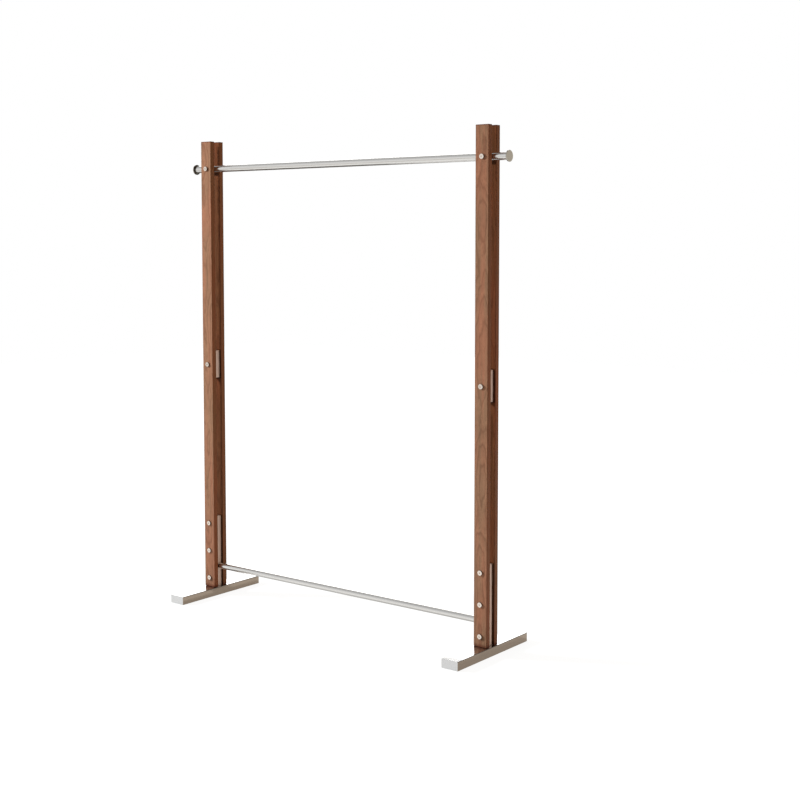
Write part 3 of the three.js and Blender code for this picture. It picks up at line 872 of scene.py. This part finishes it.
class STAND_OT_rods(bpy.types.Operator):
    """Build the hanging rod, its end caps, the lower rail and the rail's fixings"""

    bl_idname = "kimono_stand.rods"
    bl_label = "Rod, Rail and Caps"

    def execute(self, context):
        sizes = context.scene.stand_sizes
        looks = context.scene.stand_finishes
        tube = brushed_tube("brushed_tube")
        # The caps' inner faces take painted shade.
        steel = turned_steel("turned_caps", looks.cap_colour, looks.bolt_roughness,
                             self.cap_inner_shade(sizes, looks))
        black = turned_steel("blackened_grub", looks.black_colour, looks.black_roughness)
        hole = sizes.bolt_diameter + 2 * sizes.clearance
        _, _, underside = base("lower_rail")
        rod, rail = middle("hanging_rod").z, middle("lower_rail").z
        bits = {
            "hanging_rod": [bit_across(hole, "hanging_rod", rod, middle(f"{side}_rod_bolt").x)
                            for side in SIDES],
            "lower_rail": [bit_up(f"{side}_rail_grub_screw", underside, rail) for side in SIDES],
        }
        for node, holes in bits.items():
            finish(drilled(self.tube(node, sizes), holes), tube, node)
        for side, sign in SIDES.items():
            self.add_cap(f"{side}_rod_end_cap", sign, sizes, steel)
            self.add_spigot(side, sign, sizes, steel)
            self.add_grub_screw(f"{side}_rail_grub_screw", sizes, black)
        return {"FINISHED"}

    def cap_inner_shade(self, sizes, looks):
        """The radius, height and tint of the painted shade on an end cap's inner face."""
        _, depth = measures("right_rod_end_cap", 0)
        rod, _ = measures("hanging_rod", 0)
        return rod + MM, depth - sizes.cap_disc + MM, looks.cap_inner_shade

    def tube(self, node, sizes):
        """A round tube along X: its wall's section carried round the axis."""
        outer, span = measures(node, 0)
        inner, reach = outer - sizes.tube_wall, span / 2
        ease = 0.3 * MM
        section = [
            (inner, -reach), (outer - ease, -reach), (outer, -reach + ease),
            (outer, reach - ease), (outer - ease, reach), (inner, reach),
        ]
        return turned(f"{node}_tube", section, middle(node), (1, 0, 0), closed=True)

    def add_cap(self, node, sign, sizes, steel):
        """A flat disc with rounded edges, and a spigot that fits the rod's bore."""
        disc, depth = measures(node, 0)
        rod, _ = measures("hanging_rod", 0)
        spigot = rod - sizes.tube_wall - sizes.clearance
        seat = depth - sizes.cap_disc
        profile = [
            (0, 0), (spigot, 0, 0.5 * MM), (spigot, seat),
            (disc, seat, 0.35 * MM), (disc, depth, sizes.cap_edge), (0, depth),
        ]
        cap = turned(f"{node}_steel", profile, inner_end(node, sign), (sign, 0, 0))
        finish(cap, steel, node)

    def add_spigot(self, side, sign, sizes, steel):
        """A turned plug for the rail's end with a stud for the upright, drilled underneath."""
        node = f"{side}_rail_spigot"
        body, depth = measures(node, 0)
        stud, seat = sizes.stud_diameter / 2, depth - sizes.stud_length
        profile = [
            (0, 0), (body, 0, 0.8 * MM), (body, seat, 0.3 * MM), (stud, seat),
            (stud, depth, 0.8 * MM), (0, depth),
        ]
        plug = turned(f"{node}_steel", profile, inner_end(node, sign), (sign, 0, 0))
        screw = f"{side}_rail_grub_screw"
        bit = bit_up(screw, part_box(screw)[0].z)
        finish(drilled(plug, [bit]), steel, node)

    def add_grub_screw(self, node, sizes, black):
        """A headless screw with its socket underneath."""
        radius, reach = measures(node, 2)
        profile = [
            *socket_corners(sizes.grub_flats, 0, sizes.grub_flats, 1),
            (radius, 0, 0.3 * MM), (radius, reach - 0.6 * MM),
            (radius - 0.6 * MM, reach), (0, reach),
        ]
        screw = turned(f"{node}_steel", profile, base(node), (0, 0, 1))
        finish(screw, black, node)


class STAND_OT_connectors(bpy.types.Operator):
    """Build the connector bolts and their sleeve nuts"""

    bl_idname = "kimono_stand.connectors"
    bl_label = "Bolts and Nuts"

    def execute(self, context):
        sizes = context.scene.stand_sizes
        looks = context.scene.stand_finishes
        head, _ = measures("left_rod_bolt", 1)
        # Painted shade and dark reflection on the wall round each bolt's head.
        rim = (head - 0.1 * MM, sizes.head_height - 0.6 * MM, looks.bolt_rim_shade)
        steel = turned_steel("turned_bolts", looks.bolt_colour, looks.bolt_roughness, rim)
        for side in SIDES:
            for station in STATIONS:
                self.add_bolt(f"{side}_{station}_bolt", sizes, steel)
                self.add_nut(f"{side}_{station}_nut", sizes, steel)
        return {"FINISHED"}

    def add_bolt(self, node, sizes, steel):
        """A flat round head with a hexagon socket on a plain shank; the head looks forwards."""
        head, span = measures(node, 1)
        shank, top = sizes.bolt_diameter / 2, sizes.head_height
        reach = span - top
        profile = [
            (0, -reach), (shank - 0.8 * MM, -reach), (shank, 0.8 * MM - reach),
            (shank, 0), (head, 0, 0.2 * MM), (head, top, sizes.head_edge),
            *reversed(socket_corners(sizes.socket_flats, top, sizes.bolt_socket, -1)),
        ]
        x, _, z = middle(node)
        origin = (x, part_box(node)[0].y + top, z)
        bolt = turned(f"{node}_steel", profile, origin, (0, -1, 0))
        finish(bolt, steel, node)

    def add_nut(self, node, sizes, steel):
        """A flat round head at the back with a hexagon socket, and a bored sleeve."""
        head, span = measures(node, 1)
        top = sizes.nut_head
        reach = span - top
        bore = sizes.bolt_diameter / 2 + sizes.clearance
        sleeve = bore + sizes.nut_wall
        profile = [
            (0, 0), (bore, 0), (bore, -reach), (sleeve, -reach, 0.3 * MM),
            (sleeve, 0), (head, 0, 0.2 * MM), (head, top, sizes.nut_head_edge),
            *reversed(socket_corners(sizes.socket_flats, top, sizes.nut_socket, -1)),
        ]
        x, _, z = middle(node)
        origin = (x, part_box(node)[1].y - top, z)
        nut = turned(f"{node}_steel", profile, origin, (0, 1, 0))
        finish(nut, steel, node)


# ---- stage ----

def rays(shader):
    """A mask for rays from the camera, and one for rays sent on by gloss or glass."""
    seen = shader.node("ShaderNodeLightPath", output="Is Camera Ray")
    glossy = shader.node("ShaderNodeLightPath", output="Is Glossy Ray")
    through = shader.node("ShaderNodeLightPath", output="Is Transmission Ray")
    return seen, glossy + through


def pale_floor(studio):
    """A pale floor that the camera sees as the background's colour with a faint shadow.

    The shadow fades out between 0.9 and 2.2 metres from the middle, so no horizon shows. Metal
    sees a share of the background too, brighter beyond the right foot, with a dark strip in it
    to the left of the stand and a fainter one under the rail.
    """
    shader = Shader(bpy.data.materials.new("pale_floor"))
    seen, sent_on = rays(shader)
    x, y, _ = shader.parts(object_place(shader))
    beyond = shader.plateau(x, -3.6, -2.9, -1.15, -0.85) * shader.plateau(y, -0.55, -0.2, 2.6, 3.4)
    under = shader.plateau(x, -0.53, -0.47, 0.54, 0.57) * shader.plateau(y, -0.13, -0.06, 0.9, 1.5)
    strip = beyond + under * 0.55
    tint = shader.blend(strip * sent_on, studio.floor_colour, studio.strip_colour)
    matt = shader.node("ShaderNodeBsdfDiffuse", None, {"Color": tint})
    clean = shader.node("ShaderNodeEmission", None, {
        "Color": studio.background, "Strength": studio.floor_glow,
    })
    far = shader.ramp((x * x + y * y) ** 0.5, 0.9, 2.2)
    mirrored = sent_on * studio.mirrored * (1 + shader.ramp(x, 0.7, 1.3) - strip)
    mixed = shader.node("ShaderNodeMixShader", None, {
        0: seen * (1 - (1 - far) * studio.floor_shadow) + mirrored, 1: matt, 2: clean,
    })
    shader.node("ShaderNodeOutputMaterial", None, {"Surface": mixed})
    return shader.owner


def studio_light(studio):
    """Soft light from all round: an even glow and four panels.

    Each panel is a colour that fades out between two angles from its direction. The camera sees
    the background instead, and metal sees a share of it, less of it high up.
    """
    world = bpy.data.worlds.new("studio")
    bpy.context.scene.world = world
    shader = Shader(world)
    direction = shader.node("ShaderNodeTexCoord", output="Generated")
    light = studio.glow
    for axis, inner, outer, tint in PANELS:
        facing = shader.node("ShaderNodeVectorMath", {"operation": "DOT_PRODUCT"}, {
            0: direction, 1: Vector(axis).normalized(),
        }, output="Value")
        strength = shader.ramp(facing, math.cos(math.radians(outer)), math.cos(math.radians(inner)))
        light = shader.node("ShaderNodeVectorMath", {"operation": "ADD"}, {
            0: light, 1: shader.scaled(tint, strength),
        })
    seen, sent_on = rays(shader)
    _, _, rise = shader.parts(direction)
    mirrored = sent_on * studio.mirrored * (1 - shader.ramp(rise, 0.15, 0.55) * 0.6)
    shown = shader.blend(seen + mirrored, light, studio.background)
    shader.node("ShaderNodeOutputWorld", None, {
        "Surface": shader.node("ShaderNodeBackground", None, {"Color": shown, "Strength": 1.0}),
    })


class STAND_OT_stage(bpy.types.Operator):
    """Set up the floor, the light and the camera"""

    bl_idname = "kimono_stand.stage"
    bl_label = "Studio"

    def execute(self, context):
        studio = context.scene.stand_studio
        square = ((-1, -1, 0), (1, -1, 0), (1, 1, 0), (-1, 1, 0))
        corners = [Vector(corner) * FLOOR_REACH for corner in square]
        mesh = bpy.data.meshes.new("floor")
        mesh.from_pydata(corners, [], [(0, 1, 2, 3)])
        mesh.materials.append(pale_floor(studio))
        floor = bpy.data.objects.new("floor", mesh)
        context.scene.collection.objects.link(floor)
        studio_light(studio)
        self.add_key_light(context, studio)
        self.add_camera(context, studio)
        context.scene.view_settings.view_transform = "Standard"
        return {"FINISHED"}

    def add_key_light(self, context, studio):
        """A square soft lamp that faces the middle of the stand."""
        lamp = bpy.data.lights.new("key_light", "AREA")
        lamp.size = 0.9
        lamp.energy = studio.key_power
        lamp.spread = math.radians(60)
        lamp.color = (0.92, 1.0, 1.1)
        lamp_object = bpy.data.objects.new("key_light", lamp)
        lamp_object.location = studio.key_place
        aim = Vector((0, 0, 1.0)) - Vector(studio.key_place)
        lamp_object.rotation_euler = aim.to_track_quat("-Z", "Y").to_euler()
        lamp_object.visible_glossy = False
        context.scene.collection.objects.link(lamp_object)

    def add_camera(self, context, studio):
        """The camera at the photograph's viewing angle."""
        camera = bpy.data.cameras.new("camera")
        camera.sensor_width = 36
        camera.lens = studio.camera_lens
        camera.shift_y = studio.camera_rise
        camera_object = bpy.data.objects.new("camera", camera)
        camera_object.location = studio.camera_place
        camera_object.rotation_euler = (math.radians(90) - studio.camera_dip, 0, studio.camera_turn)
        context.scene.collection.objects.link(camera_object)
        context.scene.camera = camera_object


# ---- add-on ----

OPERATORS = (
    STAND_OT_boards, STAND_OT_steel, STAND_OT_feet, STAND_OT_rods, STAND_OT_connectors,
    STAND_OT_stage,
)


class VIEW3D_PT_kimono_stand(bpy.types.Panel):
    """Sizes, finishes and steps of the kimono stand"""

    bl_label = "Kimono Stand"
    bl_idname = "VIEW3D_PT_kimono_stand"
    bl_space_type = "VIEW_3D"
    bl_region_type = "UI"
    bl_category = "Kimono Stand"

    def draw(self, context):
        for operator in OPERATORS:
            self.layout.operator(operator.bl_idname)
        for group in (context.scene.stand_sizes, context.scene.stand_finishes,
                      context.scene.stand_studio):
            box = self.layout.box()
            for name in group.__annotations__:
                box.prop(group, name)


CLASSES = (StandSizes, StandFinishes, StandStudio, *OPERATORS, VIEW3D_PT_kimono_stand)


def register():
    for each in CLASSES:
        bpy.utils.register_class(each)
    bpy.types.Scene.stand_sizes = bpy.props.PointerProperty(type=StandSizes)
    bpy.types.Scene.stand_finishes = bpy.props.PointerProperty(type=StandFinishes)
    bpy.types.Scene.stand_studio = bpy.props.PointerProperty(type=StandStudio)


def unregister():
    del bpy.types.Scene.stand_studio
    del bpy.types.Scene.stand_finishes
    del bpy.types.Scene.stand_sizes
    for each in reversed(CLASSES):
        bpy.utils.unregister_class(each)


def main():
    register()
    bpy.ops.kimono_stand.boards()
    bpy.ops.kimono_stand.steel()
    bpy.ops.kimono_stand.feet()
    bpy.ops.kimono_stand.rods()
    bpy.ops.kimono_stand.connectors()
    bpy.ops.kimono_stand.stage()


if __name__ == "__main__":
    main()
